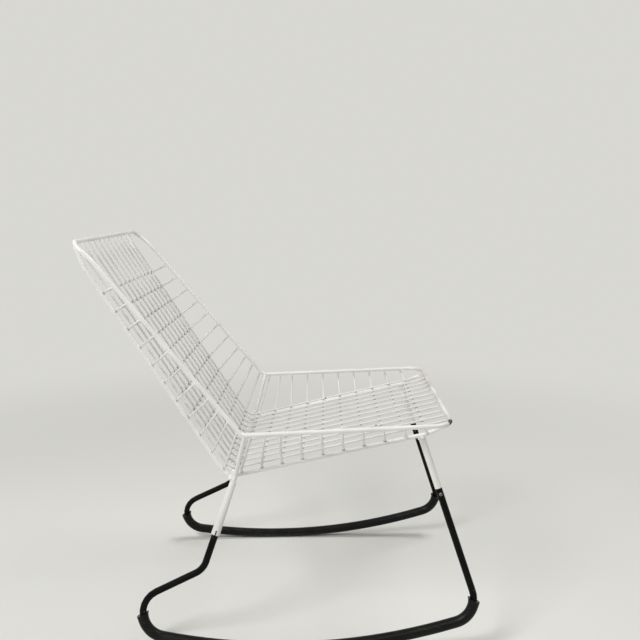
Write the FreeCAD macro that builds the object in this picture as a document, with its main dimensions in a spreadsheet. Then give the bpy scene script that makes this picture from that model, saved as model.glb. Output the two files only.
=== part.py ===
import FreeCAD, Part
import math
import os

import Sketcher
from FreeCAD import Placement, Rotation, Vector

# Wire rocking chair: a welded steel wire shell on two bent tube side frames with rubber runner hoses.
# Millimetres, +Z up, the chair faces -Y, X = 0 is its plane of symmetry, the floor is Z = 0.

# Driving dimensions: alias, value, meaning.
DIMENSIONS = [
    ("fold_y", 95.9, "line where seat and back meet, at the layer of the cross wires"),
    ("fold_z", 324.8, "height of that line"),
    ("back_lean", 32.4, "back panel, degrees from upright"),
    ("seat_slope", 13.2, "seat panel, degrees up towards the front"),
    ("back_reach", 502.0, "fold to top rail, along the back"),
    ("seat_reach", 420.0, "fold to front rail, along the seat"),
    ("rim_dia", 8.2, "rim rod"),
    ("rail_dia", 7.6, "rods along the lower edges, and the fold bar"),
    ("wire_dia", 4.2, "panel wires"),
    ("post_dia", 8.5, "rod from the rim's kink down to the rear leg"),
    ("rim_top_half", 222.0, "half width of the rim at its top corners"),
    ("rim_kink_half", 238.0, "half width of the rim at the kink"),
    ("rim_front_half", 233.0, "half width of the rim at its front corners"),
    ("kink_forward", 31.4, "kink of the rim, ahead of the fold"),
    ("kink_rise", 88.9, "kink of the rim, above the fold"),
    ("rim_top_bend", 28.0, "centre line radius of the rim's top corners"),
    ("rim_front_bend", 35.0, "centre line radius of the rim's front corners"),
    ("rim_shoulder_bend", 150.0, "centre line radius of the slight bend below each top corner"),
    ("rim_shoulder", 46.0, "distance of that bend from the top corner"),
    ("rim_shoulder_rise", 7.0, "how far that bend stands in from a straight line between corner and kink"),
    ("rim_kink_bend", 15.0, "centre line radius of the rim's kinks"),
    ("rail_fold_half", 188.0, "half distance of the lower rails at the fold"),
    ("rail_seat_half", 199.0, "half distance of the lower rails at the front of the seat"),
    ("rail_back_half", 187.5, "half distance of the lower rails at the top of the back"),
    ("rail_bend", 20.0, "centre line radius of the rails at the fold"),
    ("rail_tip_bend", 40.0, "centre line radius where the rails turn in to the rim"),
    ("rail_tip_run", 46.0, "length of the turned-in ends of the rails"),
    ("long_pitch", 32.2, "spacing of the lengthwise wires"),
    ("long_count", 12, "number of lengthwise wires"),
    ("lap", 3.0, "how far a lengthwise wire runs on under the rim"),
    ("back_first", 14.0, "fold to first back cross wire"),
    ("back_pitch", 38.8, "spacing of the back cross wires"),
    ("back_count", 11, "number of back cross wires"),
    ("seat_first", 24.3, "fold to first seat cross wire"),
    ("seat_pitch", 38.8, "spacing of the seat cross wires"),
    ("seat_count", 10, "number of seat cross wires"),
    ("rim_back_first", 12.0, "kink to the first back cross wire's end, along the rim"),
    ("rim_back_start", -20.0, "kink to where the even row of those ends would start"),
    ("rim_back_pitch", 36.3, "spacing of that row"),
    ("rim_seat_first", 16.0, "kink to the first seat cross wire's end, along the rim"),
    ("rim_seat_start", -5.0, "kink to where the even row of those ends would start"),
    ("rim_seat_pitch", 36.5, "spacing of that row"),
    ("rim_fan", 25.0, "spacing of the ends that fan out from the kink"),
    ("wing_bend", 9.0, "centre line radius where a cross wire turns up over a rail"),
    ("wing_tip_bend", 8.0, "centre line radius where its end stands up into the rim"),
    ("wing_tip_run", 12.0, "length of the standing end"),
    ("contact_y", 28.8, "point of the runners that touches the floor at rest"),
    ("half_track", 245.0, "half distance of the runners there"),
    ("tube_dia", 12.8, "side frame tube"),
    ("tube_bore", 10.3, "inside of the tube"),
    ("hose_dia", 20.0, "rubber hose over the runner"),
    ("hose_flat", 0.4, "depth to which the hose is pressed flat on the floor"),
    ("runner_radius", 1150.0, "centre line of the runner"),
    ("front_bend", 45.0, "bend from front leg to runner"),
    ("curl_radius", 44.2, "curl at the runner's rear end"),
    ("curl_back", 183.5, "centre of that curl, behind the floor contact"),
    ("brace_slope", 26.3, "straight brace above the curl, degrees from level"),
    ("rear_bend", 38.0, "bend from that brace to the rear leg"),
    ("rear_bend_back", 114.8, "corner of that bend, behind the floor contact"),
    ("front_leg_lean", 18.6, "front leg, degrees from upright in the frame's plane"),
    ("front_weld", 366.8, "fold to the front leg's weld, along the rail"),
    ("rear_weld", 15.6, "fold to the place where the rear post passes the rail, along the seat"),
    ("post_top", 5.0, "kink of the rim to the post's top end, forwards"),
    ("post_bend", 12.0, "centre line radius of the post where it passes the rail"),
    ("post_nip", 0.5, "how much nearer the rail the corner of that bend lies than its curve"),
    ("stub_length", 101.5, "front leg stub, from the rail to its shoulder"),
    ("spigot_dia", 10.1, "stub's spigot inside the tube"),
    ("spigot_length", 36.0, "length of that spigot"),
    ("socket_drop", 9.0, "rear socket's top, below the weld"),
    ("socket_length", 104.0, "rear socket"),
    ("socket_top_dia", 12.5, "outside at the top"),
    ("socket_mouth_dia", 16.6, "outside at the mouth"),
    ("socket_depth", 42.0, "how deep the tube sits in the socket"),
    ("socket_slit", 2.4, "width of the slit in the socket's mouth"),
    ("slit_length", 9.0, "length of that slit"),
    ("post_tail", 55.0, "how far the post runs down past the weld"),
    ("hose_bare", 14.0, "degrees of the front bend above the hose"),
    ("hose_curl", 84.0, "degrees of the rear curl that the hose covers"),
    ("screw_dia", 3.0, "lock screw's shank"),
    ("screw_head_dia", 6.4, "lock screw's head"),
    ("screw_head_rise", 2.0, "height of the head"),
    ("front_screw_drop", 11.0, "front lock screw, below the stub's shoulder"),
    ("rear_screw_rise", 30.0, "rear lock screw, above the socket's mouth"),
]

# Derived dimensions, of the turned pieces: alias, formula, meaning.
DERIVED = [
    ("tube_radius", "=tube_dia / 2", "outside of the tube"),
    ("post_radius", "=post_dia / 2", "post, and the socket's bore on it"),
    ("socket_mouth_radius", "=socket_mouth_dia / 2", "outside of the socket's mouth"),
    ("socket_top_radius", "=socket_top_dia / 2", "outside of the socket's top"),
    ("socket_taper", "=(socket_mouth_radius - socket_top_radius) / socket_length", "socket's slope"),
    ("rear_skin", "=socket_mouth_radius - socket_taper * rear_screw_rise", "socket's outside at its screw"),
    ("spigot_radius", "=spigot_dia / 2", "outside of the stub's spigot"),
    ("spigot_end", "=stub_length + spigot_length", "stub's weld to its spigot's end"),
    ("screw_radius", "=screw_dia / 2", "lock screw's shank"),
    ("screw_head_radius", "=screw_head_dia / 2", "lock screw's head"),
    ("screw_dome_radius", "=screw_head_radius * 0.72", "where the dome of the head steepens"),
    ("screw_top_radius", "=screw_head_radius * 0.3", "flat on top of the dome"),
    ("front_grip", "=tube_radius", "front screw's shank, to the middle of the spigot"),
    ("rear_grip", "=rear_skin - tube_bore / 2", "rear screw's shank, through socket and tube"),
    ("front_head_side", "=front_grip + screw_head_rise * 0.5", "front screw's tip to its head's edge"),
    ("front_head_dome", "=front_grip + screw_head_rise * 0.85", "front screw's tip to its dome"),
    ("front_head_top", "=front_grip + screw_head_rise", "front screw's whole length"),
    ("rear_head_side", "=rear_grip + screw_head_rise * 0.5", "rear screw's tip to its head's edge"),
    ("rear_head_dome", "=rear_grip + screw_head_rise * 0.85", "rear screw's tip to its dome"),
    ("rear_head_top", "=rear_grip + screw_head_rise", "rear screw's whole length"),
]

doc = FreeCAD.newDocument("WireRockingChair")
sheet = doc.addObject("Spreadsheet::Sheet", "Dims")
aliases = []


def add_cell(alias, content, meaning):
    aliases.append(alias)
    row = len(aliases)
    sheet.set(f"A{row}", meaning)
    sheet.set(f"B{row}", str(content))
    sheet.setAlias(f"B{row}", alias)


for entry in DIMENSIONS + DERIVED:
    add_cell(*entry)
doc.recompute()


def dim(alias):
    return float(getattr(sheet, alias))


sub_parts = []
SIDES = {"left": 1, "right": -1}


# Rods: each is bent from straight feeds and bends, as on a bending bench.

def origin_plane(body, role):
    return next(plane for plane in body.Origin.OriginFeatures if plane.Role == role)


def new_sketch(body, name, role):
    sketch = body.newObject("Sketcher::SketchObject", name)
    sketch.AttachmentSupport = (origin_plane(body, role), [""])
    sketch.MapMode = "FlatFace"
    return sketch


def bind(sketch, constraint, name, formula):
    index = sketch.addConstraint(constraint)
    sketch.renameConstraint(index, name)
    sketch.setExpression("Constraints." + name, formula)


def draw_path(sketch, table):
    """Draws feeds and bends one after the other, from the origin along +X, each tangent to the last."""
    spot = Vector(0, 0, 0)
    heading = 0.0
    previous = None
    for step, entry in enumerate(table):
        ahead = Vector(math.cos(heading), math.sin(heading), 0)
        if entry[0] == "feed":
            end = spot + ahead * entry[1]
            piece = sketch.addGeometry(Part.LineSegment(spot, end))
            first, last = 1, 2
            sketch.addConstraint(Sketcher.Constraint("Distance", piece, entry[1]))
        else:
            radius = dim(entry[1])
            turn = entry[2]
            side = 1 if turn > 0 else -1
            middle = spot + Vector(-ahead.y, ahead.x, 0) * (side * radius)
            begin = heading - side * math.pi / 2
            circle = Part.Circle(middle, Vector(0, 0, 1), radius)
            span = sorted((begin, begin + turn))
            piece = sketch.addGeometry(Part.ArcOfCircle(circle, *span))
            first, last = (1, 2) if turn > 0 else (2, 1)
            heading += turn
            end = middle + Vector(math.cos(begin + turn), math.sin(begin + turn), 0) * radius
            bind(sketch, Sketcher.Constraint("Radius", piece, radius), f"bend_{step}", "Dims." + entry[1])
            sketch.addConstraint(Sketcher.Constraint("Angle", piece, abs(turn)))
        if previous is None:
            sketch.addConstraint(Sketcher.Constraint("Coincident", piece, first, -1, 1))
            if entry[0] == "feed":
                sketch.addConstraint(Sketcher.Constraint("Horizontal", piece))
            else:
                sketch.addConstraint(Sketcher.Constraint("Vertical", piece, 3, -1, 1))
        else:
            sketch.addConstraint(Sketcher.Constraint("Tangent", *previous, piece, first))
        previous = (piece, last)
        spot = end


def draw_circle(sketch, name, alias):
    circle = sketch.addGeometry(Part.Circle(Vector(0, 0, 0), Vector(0, 0, 1), dim(alias) / 2))
    sketch.addConstraint(Sketcher.Constraint("Coincident", circle, 3, -1, 1))
    bind(sketch, Sketcher.Constraint("Diameter", circle, dim(alias)), name, "Dims." + alias)


def frame_at(start, along, towards):
    """Placement with its X along the rod's first feed and its Y on the side of its first bend."""
    x_axis = Vector(along).normalize()
    z_axis = x_axis.cross(towards).normalize()
    return Placement(start, Rotation(x_axis, z_axis.cross(x_axis), z_axis, "XZY"))


def rod(label, place, table, outside, bore=None, mirrored=False):
    body = doc.addObject("PartDesign::Body", label)
    path = new_sketch(body, "Path", "XY_Plane")
    draw_path(path, table)
    section = new_sketch(body, "Section", "YZ_Plane")
    draw_circle(section, "outside", outside)
    if bore:
        draw_circle(section, "bore", bore)
    doc.recompute()
    pipe = body.newObject("PartDesign::AdditivePipe", "Pipe")
    pipe.Profile = section
    pipe.Spine = (path, [f"Edge{number}" for number in range(1, len(table) + 1)])
    body.Tip = pipe
    if mirrored:
        other_half = body.newObject("PartDesign::Mirrored", "OtherHalf")
        other_half.Originals = [pipe]
        other_half.MirrorPlane = (origin_plane(body, "YZ_Plane"), [""])
        body.Tip = other_half
    body.Placement = place
    return body


def bend_table(corners, bends):
    """Feeds and bends of a flat rod through the corner points. A bend is the alias of its radius."""
    runs = [after - before for before, after in zip(corners, corners[1:])]
    normal = runs[0].cross(runs[1])
    turns = []
    for before, after in zip(runs, runs[1:]):
        side = 1 if before.cross(after).dot(normal) > 0 else -1
        turns.append(side * before.getAngle(after))
    trims = [dim(bend) * math.tan(abs(turn) / 2) for bend, turn in zip(bends, turns)]
    table = []
    for number, run in enumerate(runs):
        before = trims[number - 1] if number else 0
        after = trims[number] if number < len(trims) else 0
        table.append(("feed", run.Length - before - after))
        if number < len(trims):
            table.append(("bend", bends[number], turns[number]))
    return table


def bent_rod(label, corners, bends, outside, mirrored=False):
    first_run = corners[1] - corners[0]
    place = frame_at(corners[0], first_run, corners[2] - corners[1])
    return rod(label, place, bend_table(corners, bends), outside, mirrored=mirrored)


def keep(item, label=None):
    if label:
        item.Label = label
    sub_parts.append(item)
    return item


# Shell layout: two flat panels that meet at the fold, in layers from the rails inwards to the rim.

back_lean = math.radians(dim("back_lean"))
seat_slope = math.radians(dim("seat_slope"))
fold = Vector(0, dim("fold_y"), dim("fold_z"))
up_back = Vector(0, math.sin(back_lean), math.cos(back_lean))
along_seat = Vector(0, -math.cos(seat_slope), math.sin(seat_slope))
back_in = Vector(0, -math.cos(back_lean), math.sin(back_lean))
seat_in = Vector(0, math.sin(seat_slope), math.cos(seat_slope))
inwards = (back_in + seat_in).normalize()
half_fold = up_back.getAngle(along_seat) / 2
corner_cut = 1 / math.sin(half_fold) - 1

wire_radius = dim("wire_dia") / 2
rail_radius = dim("rail_dia") / 2
rim_radius = dim("rim_dia") / 2
rail_depth = rail_radius + wire_radius
long_depth = dim("wire_dia")
rim_depth = long_depth + wire_radius + rim_radius


def at_x(point, across):
    return Vector(across, point.y, point.z)


# Rim: one closed loop of rod. Half of it is bent, and the other half is its mirror image.

rim_top = fold + up_back * dim("back_reach") + back_in * rim_depth
rim_front = fold + along_seat * dim("seat_reach") + seat_in * rim_depth
rim_kink = fold + Vector(0, -dim("kink_forward"), dim("kink_rise"))
top_corner = at_x(rim_top, dim("rim_top_half"))
front_corner = at_x(rim_front, dim("rim_front_half"))
kink_corner = at_x(rim_kink, dim("rim_kink_half"))
shoulder = top_corner + (kink_corner - top_corner).normalize() * dim("rim_shoulder")
shoulder += back_in * dim("rim_shoulder_rise")
rim_corners = [rim_top, top_corner, shoulder, kink_corner, front_corner, rim_front]
rim_bends = ["rim_top_bend", "rim_shoulder_bend", "rim_kink_bend", "rim_front_bend"]


def rounded_wire(corners, radii):
    """Straight edges through the corners, joined by tangent arcs."""
    edges = []
    spot = corners[0]
    for before, corner, after, radius in zip(corners, corners[1:], corners[2:], radii):
        back = (before - corner).normalize()
        ahead = (after - corner).normalize()
        half = back.getAngle(ahead) / 2
        trim = radius / math.tan(half)
        middle = corner + (back + ahead).normalize() * (radius / math.sin(half) - radius)
        edges.append(Part.LineSegment(spot, corner + back * trim).toShape())
        edges.append(Part.Arc(corner + back * trim, middle, corner + ahead * trim).toShape())
        spot = corner + ahead * trim
    edges.append(Part.LineSegment(spot, corners[-1]).toShape())
    return Part.Wire(edges)


rim_path = rounded_wire(rim_corners, [dim(bend) for bend in rim_bends])
rim_section = Part.Wire(Part.Circle(rim_top, Vector(1, 0, 0), rim_radius).toShape())
rim_half = doc.addObject("Part::Feature", "RimHalf")
rim_half.Shape = rim_path.makePipeShell([rim_section], True, False)
rim_mirror = doc.addObject("Part::Mirroring", "RimMirror")
rim_mirror.Source = rim_half
rim_mirror.Normal = Vector(1, 0, 0)
rim = doc.addObject("Part::Fuse", "Rim")
rim.Base = rim_half
rim.Tool = rim_mirror
rim.Refine = True
keep(rim, "rim")


# Lower rails: a rod along each lower edge, bent at the fold, its ends turned in to the rim's corners.

def rail_half_at(panel, share):
    splay = dim(f"rail_{panel}_half") - dim("rail_fold_half")
    return dim("rail_fold_half") + splay * share / dim(f"{panel}_reach")


def rail_corners(side):
    corner = at_x(fold - inwards * (rail_depth / math.sin(half_fold)), side * dim("rail_fold_half"))
    runs = {}
    for panel, direction in (("seat", along_seat), ("back", up_back)):
        splay = dim(f"rail_{panel}_half") - dim("rail_fold_half")
        runs[panel] = (direction * dim(f"{panel}_reach") + Vector(side * splay, 0, 0)).normalize()
    climb = rail_depth + rim_depth - rim_radius - rail_radius
    points = {}
    for panel, other in (("seat", "back"), ("back", "seat")):
        run = runs[panel]
        rise = (runs[other] - run * runs[other].dot(run)).normalize()
        turned = corner + run * (dim(f"{panel}_reach") - dim("rail_tip_run"))
        points[panel] = (turned, turned + run * dim("rail_tip_run") + rise * climb)
    return [points["seat"][1], points["seat"][0], corner, points["back"][0], points["back"][1]]


rails = {}
for name, side in SIDES.items():
    bends = ["rail_tip_bend", "rail_bend", "rail_tip_bend"]
    rails[name] = keep(bent_rod(f"{name}_lower_rail", rail_corners(side), bends, "rail_dia"))


# Fold bar: a straight rod across the fold, in the bend of the rails and under the lengthwise wires.

bar_height = -rail_depth / math.sin(half_fold) + dim("rail_bend") * corner_cut + 2 * rail_radius
bar = doc.addObject("Part::Cylinder", "FoldBar")
bar.setExpression("Radius", "Dims.rail_dia / 2")
bar.setExpression("Height", "2 * Dims.rail_fold_half + Dims.rail_dia")
bar.Placement = Placement(
    at_x(fold + inwards * bar_height, -dim("rail_fold_half") - rail_radius),
    Rotation(Vector(0, 0, 1), Vector(1, 0, 0)),
)
keep(bar, "fold_bar")


# Lengthwise wires: each one wire, bent over the fold bar, its ends welded under the top and front rails.

long_corner = fold + inwards * (long_depth / math.sin(half_fold))
long_shift = long_depth / math.tan(half_fold)
long_bend = (bar_height + rail_radius + wire_radius - long_depth / math.sin(half_fold)) / corner_cut
add_cell("long_bend", long_bend, "centre line radius at which a lengthwise wire lies on the fold bar")
doc.recompute()
long_count = int(dim("long_count"))
for number in range(long_count):
    across = (number - (long_count - 1) / 2) * dim("long_pitch")
    top = long_corner + up_back * (dim("back_reach") + dim("lap") - long_shift)
    front = long_corner + along_seat * (dim("seat_reach") + dim("lap") - long_shift)
    points = [at_x(point, across) for point in (top, long_corner, front)]
    keep(bent_rod(f"lengthwise_wire_{number + 1:02d}", points, ["long_bend"], "wire_dia"))


# Cross wires: each is flat, bent up over both rails, its ends standing up into the rim.

def cross_wire(label, panel, share, direction, rim_point, rim_half, rim_run):
    base = fold + direction * share
    rise = at_x(rim_point, 0) - base
    upright = Vector(rise).normalize()
    slant = abs(upright.dot(rim_run))
    short = (rim_radius + wire_radius * slant) / upright.cross(rim_run).Length
    tip = rise.Length - short
    elbow = tip - dim("wing_tip_run")
    over_rail = rail_half_at(panel, share)
    turn = math.atan2(elbow, rim_half - over_rail)
    for _ in range(4):
        corner = over_rail + dim("wing_bend") * math.tan(turn / 2)
        turn = math.atan2(elbow, rim_half - corner)
    corners = [
        base,
        base + Vector(corner, 0, 0),
        base + Vector(rim_half, 0, 0) + upright * elbow,
        base + Vector(rim_half, 0, 0) + upright * tip,
    ]
    keep(bent_rod(label, corners, ["wing_bend", "wing_tip_bend"], "wire_dia", mirrored=True))


def rim_place(start, end, distance):
    """Point of the rim's side, a distance from its kink, with the half width and direction there."""
    run = (end - start).normalize()
    point = start + run * distance
    return point, point.x, run


def rim_distance(number, panel):
    """Wire ends fan out from the kink at first, and then stand in an even row."""
    fan = dim(f"rim_{panel}_first") + number * dim("rim_fan")
    row = dim(f"rim_{panel}_start") + number * dim(f"rim_{panel}_pitch")
    return max(fan, row)


for panel, direction, end in (("back", up_back, shoulder), ("seat", along_seat, front_corner)):
    for number in range(int(dim(f"{panel}_count"))):
        place = rim_place(kink_corner, end, rim_distance(number, panel))
        share = dim(f"{panel}_first") + number * dim(f"{panel}_pitch")
        cross_wire(f"{panel}_cross_wire_{number + 1:02d}", panel, share, direction, *place)


# Side frames: each lies in a plane through its two welds on the shell and its point on the floor.

class FramePlane:
    def __init__(self, side):
        rail_fold = fold - inwards * (rail_depth / math.sin(half_fold))
        rear = rail_fold + along_seat * dim("rear_weld")
        front = rail_fold + along_seat * dim("front_weld")
        rail_out = rail_half_at("seat", dim("rear_weld")) + rail_radius
        post_out = rail_out + dim("post_radius") - dim("post_nip")
        axle_height = dim("hose_dia") / 2 - dim("hose_flat")
        self.contact = Vector(side * dim("half_track"), dim("contact_y"), axle_height)
        self.rear_weld = at_x(rear, side * post_out)
        self.front_weld = at_x(front, side * rail_half_at("seat", dim("front_weld")))
        normal = (self.rear_weld - self.contact).cross(self.front_weld - self.contact).normalize()
        self.back = normal.cross(Vector(0, 0, 1)).normalize()
        if self.back.y < 0:
            self.back = -self.back
        self.up = self.back.cross(normal).normalize()
        if self.up.z < 0:
            self.up = -self.up

    def flat(self, point):
        offset = point - self.contact
        return offset.dot(self.back), offset.dot(self.up)

    def lift(self, back, up):
        return self.contact + self.back * back + self.up * up

    def turn(self, heading):
        """Direction in the plane, its heading counted from straight back, upwards."""
        return self.back * math.cos(heading) + self.up * math.sin(heading)


def side_frame(plane):
    """Route of the tube: its start, its first heading, and its feeds and bends up to the rear leg."""
    runner = dim("runner_radius")
    front_bend = dim("front_bend")
    curl = dim("curl_radius")
    lean = math.radians(dim("front_leg_lean"))
    brace = math.pi - math.radians(dim("brace_slope"))
    down_leg = 1.5 * math.pi - lean
    leg_x, leg_y = math.cos(down_leg), math.sin(down_leg)
    weld_back, weld_up = plane.flat(plane.front_weld)
    # Centre of the front bend: inside the runner's circle, and a bend radius behind the leg.
    start_back = weld_back - leg_y * front_bend
    start_up = weld_up + leg_x * front_bend - runner
    along = start_back * leg_x + start_up * leg_y
    room = (runner - front_bend) ** 2 - start_back ** 2 - start_up ** 2
    leg_length = -along + math.sqrt(along ** 2 + room)
    bend_back = start_back + leg_x * leg_length
    bend_up = start_up + leg_y * leg_length
    runner_start = math.atan2(bend_back, -bend_up)
    curl_back = dim("curl_back")
    curl_up = runner - math.sqrt((runner - curl) ** 2 - curl_back ** 2)
    runner_end = math.atan2(curl_back, runner - curl_up)
    brace_back = curl_back + curl * math.sin(brace)
    brace_up = curl_up - curl * math.cos(brace)
    knee_back = dim("rear_bend_back")
    knee_up = brace_up + (brace_back - knee_back) * math.tan(math.pi - brace)
    rear_back, rear_up = plane.flat(plane.rear_weld)
    up_leg = math.atan2(rear_up - knee_up, rear_back - knee_back)
    knee_turn = up_leg - brace
    trim = dim("rear_bend") * math.tan(abs(knee_turn) / 2)
    mouth = dim("socket_drop") + dim("socket_length")
    brace_length = math.hypot(brace_back - knee_back, brace_up - knee_up) - trim
    rear_length = math.hypot(rear_back - knee_back, rear_up - knee_up) - trim
    tube = [
        ("feed", leg_length - dim("stub_length")),
        ("bend", "front_bend", runner_start + 2 * math.pi - down_leg),
        ("bend", "runner_radius", runner_end - runner_start),
        ("bend", "curl_radius", brace - runner_end),
        ("feed", brace_length),
        ("bend", "rear_bend", knee_turn),
        ("feed", rear_length - mouth + dim("socket_depth")),
    ]
    bare = math.radians(dim("hose_bare"))
    hose = [
        ("bend", "front_bend", tube[1][2] - bare),
        tube[2],
        ("bend", "curl_radius", math.radians(dim("hose_curl"))),
    ]
    hose_back = bend_back + front_bend * math.sin(down_leg + bare)
    hose_up = bend_up + runner - front_bend * math.cos(down_leg + bare)
    down = plane.turn(down_leg)
    return {
        "tube": tube,
        "hose": hose,
        "down": down,
        "shoulder": plane.front_weld + down * dim("stub_length"),
        "hose_start": plane.lift(hose_back, hose_up),
        "hose_along": plane.turn(down_leg + bare),
        "rear_up": plane.turn(up_leg),
        "rear_mouth": plane.rear_weld - plane.turn(up_leg) * mouth,
    }


def turned_piece(label, place, outline):
    """Round piece: an outline of points, revolved about the X axis. A point is two aliases, its distance
    along the axis and its radius, with None for zero."""
    body = doc.addObject("PartDesign::Body", label)
    sketch = new_sketch(body, "Outline", "XY_Plane")
    points = [Vector(*(dim(alias) if alias else 0 for alias in point), 0) for point in outline]
    for first, second in zip(points, points[1:] + points[:1]):
        sketch.addGeometry(Part.LineSegment(first, second))
    for number, point in enumerate(outline):
        sketch.addConstraint(Sketcher.Constraint("Coincident", (number - 1) % len(points), 2, number, 1))
        for alias, kind, zero_axis in zip(point, ("DistanceX", "DistanceY"), (-2, -1)):
            if alias:
                distance = Sketcher.Constraint(kind, -1, 1, number, 1, dim(alias))
                bind(sketch, distance, f"{kind}_{number}", "Dims." + alias)
            else:
                sketch.addConstraint(Sketcher.Constraint("PointOnObject", number, 1, zero_axis))
    doc.recompute()
    lathe = body.newObject("PartDesign::Revolution", "Turned")
    lathe.Profile = sketch
    lathe.ReferenceAxis = (sketch, ["H_Axis"])
    lathe.Angle = 360
    body.Tip = lathe
    body.Placement = place
    return body


def drill(label, start, along, length):
    tool = doc.addObject("Part::Cylinder", label)
    tool.setExpression("Radius", "Dims.screw_dia / 2")
    tool.Height = length
    tool.Placement = Placement(start, Rotation(Vector(0, 0, 1), along))
    return tool


def cut(label, base, tool):
    result = doc.addObject("Part::Cut", label)
    result.Base = base
    result.Tool = tool
    return result


screws = []


def lock_screw(label, end, tip, outwards):
    """Domed lock screw for the front or rear end of a tube, from the tip of its shank outwards."""
    outline = [
        (None, None),
        (None, "screw_radius"),
        (f"{end}_grip", "screw_radius"),
        (f"{end}_grip", "screw_head_radius"),
        (f"{end}_head_side", "screw_head_radius"),
        (f"{end}_head_dome", "screw_dome_radius"),
        (f"{end}_head_top", "screw_top_radius"),
        (f"{end}_head_top", None),
    ]
    screws.append(turned_piece(label, frame_at(tip, outwards, Vector(0, 0, 1)), outline))


for name, side in SIDES.items():
    plane = FramePlane(side)
    route = side_frame(plane)
    out = Vector(side, 0, 0)
    front_out = (out - route["down"] * out.dot(route["down"])).normalize()
    rear_out = (out - route["rear_up"] * out.dot(route["rear_up"])).normalize()
    front_hole = route["shoulder"] + route["down"] * dim("front_screw_drop")
    rear_hole = route["rear_mouth"] + route["rear_up"] * dim("rear_screw_rise")

    # Rear post: a rod from the rim's kink down the wing, past the rail and on into the rear socket.
    rim_point = at_x(rim_kink - Vector(0, dim("post_top"), 0), side * dim("rim_kink_half"))
    wing = (plane.rear_weld - rim_point).normalize()
    post_corners = [
        rim_point + wing * rim_radius,
        plane.rear_weld,
        plane.rear_weld - route["rear_up"] * dim("post_tail"),
    ]
    keep(bent_rod(f"{name}_rear_post", post_corners, ["post_bend"], "post_dia"))

    # Rear socket: a tapered sleeve on the post's tail, slit at its mouth, that takes the tube.
    outline = [
        (None, "tube_radius"),
        (None, "socket_mouth_radius"),
        ("socket_length", "socket_top_radius"),
        ("socket_length", "post_radius"),
        ("socket_depth", "post_radius"),
        ("socket_depth", "tube_radius"),
    ]
    place = frame_at(route["rear_mouth"], route["rear_up"], rear_out)
    sleeve = turned_piece(f"{name}_socket_sleeve", place, outline)
    slit = doc.addObject("Part::Box", f"{name}_slit")
    slit.setExpression("Length", "2 * Dims.slit_length")
    slit.setExpression("Width", "Dims.socket_mouth_dia")
    slit.setExpression("Height", "Dims.socket_slit")
    slit.Placement = place.multiply(
        Placement(Vector(-dim("slit_length"), 0, -dim("socket_slit") / 2), Rotation())
    )
    slit_sleeve = cut(f"{name}_slit_sleeve", sleeve, slit)
    rear_drill = drill(f"{name}_rear_drill", rear_hole, -rear_out, dim("socket_mouth_dia"))
    keep(cut(f"{name}_rear_cut", slit_sleeve, rear_drill), f"{name}_rear_socket")

    # Front stub: a rod coped to the rail, stepped down to a spigot inside the tube.
    outline = [
        (None, None),
        (None, "tube_radius"),
        ("stub_length", "tube_radius"),
        ("stub_length", "spigot_radius"),
        ("spigot_end", "spigot_radius"),
        ("spigot_end", None),
    ]
    stub = turned_piece(f"{name}_stub_rod", frame_at(plane.front_weld, route["down"], front_out), outline)
    coped = cut(f"{name}_coped_stub", stub, rails[name])
    front_drill = drill(f"{name}_front_drill", front_hole, front_out, dim("tube_dia"))
    keep(cut(f"{name}_front_cut", coped, front_drill), f"{name}_front_stub")

    # Side frame: one bent tube, drilled for its two lock screws.
    towards = plane.turn(0)
    place = frame_at(route["shoulder"], route["down"], towards)
    tube = rod(f"{name}_tube", place, route["tube"], "tube_dia", "tube_bore")
    front_tool = drill(f"{name}_tube_front_drill", front_hole, front_out, dim("tube_dia"))
    rear_tool = drill(f"{name}_tube_rear_drill", rear_hole, -rear_out, dim("tube_dia"))
    front_cut = cut(f"{name}_tube_cut", tube, front_tool)
    keep(cut(f"{name}_frame_cut", front_cut, rear_tool), f"{name}_side_frame")

    # Runner hose: rubber over the front bend, the runner and the curl, pressed flat where it stands.
    place = frame_at(route["hose_start"], route["hose_along"], towards)
    hose = rod(f"{name}_hose", place, route["hose"], "hose_dia", "tube_dia")
    floor = doc.addObject("Part::Box", f"{name}_floor")
    floor.setExpression("Length", "4 * Dims.hose_dia")
    floor.setExpression("Width", "10 * Dims.hose_dia")
    floor.setExpression("Height", "Dims.hose_dia")
    floor.Placement.Base = Vector(plane.contact.x, plane.contact.y, 0) - Vector(2, 5, 1) * dim("hose_dia")
    keep(cut(f"{name}_hose_cut", hose, floor), f"{name}_runner_hose")

    lock_screw(f"{name}_front_screw", "front", front_hole, front_out)
    lock_screw(f"{name}_rear_screw", "rear", rear_hole - rear_out * (dim("tube_bore") / 2), -rear_out)

doc.recompute()
lock_screws = doc.addObject("Part::Compound", "LockScrews")
lock_screws.Links = screws
keep(lock_screws, "lock_screws")
doc.recompute()

for item in doc.Objects:
    faults = {"Invalid", "Error"} & set(item.State)
    if faults:
        raise RuntimeError(f"{item.Label}: {sorted(faults)}")

os.makedirs("parts", exist_ok=True)
for item in sub_parts:
    shape = item.Shape
    wanted = len(screws) if item is lock_screws else 1
    if shape.isNull() or not shape.isValid() or len(shape.Solids) != wanted:
        raise RuntimeError(f"{item.Label}: {len(shape.Solids)} solids")
    shape.exportStep(f"parts/{item.Label}.step")
print(len(sub_parts), "sub-parts")
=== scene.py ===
import math

import bmesh
import bpy
from mathutils import Matrix, Vector


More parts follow.
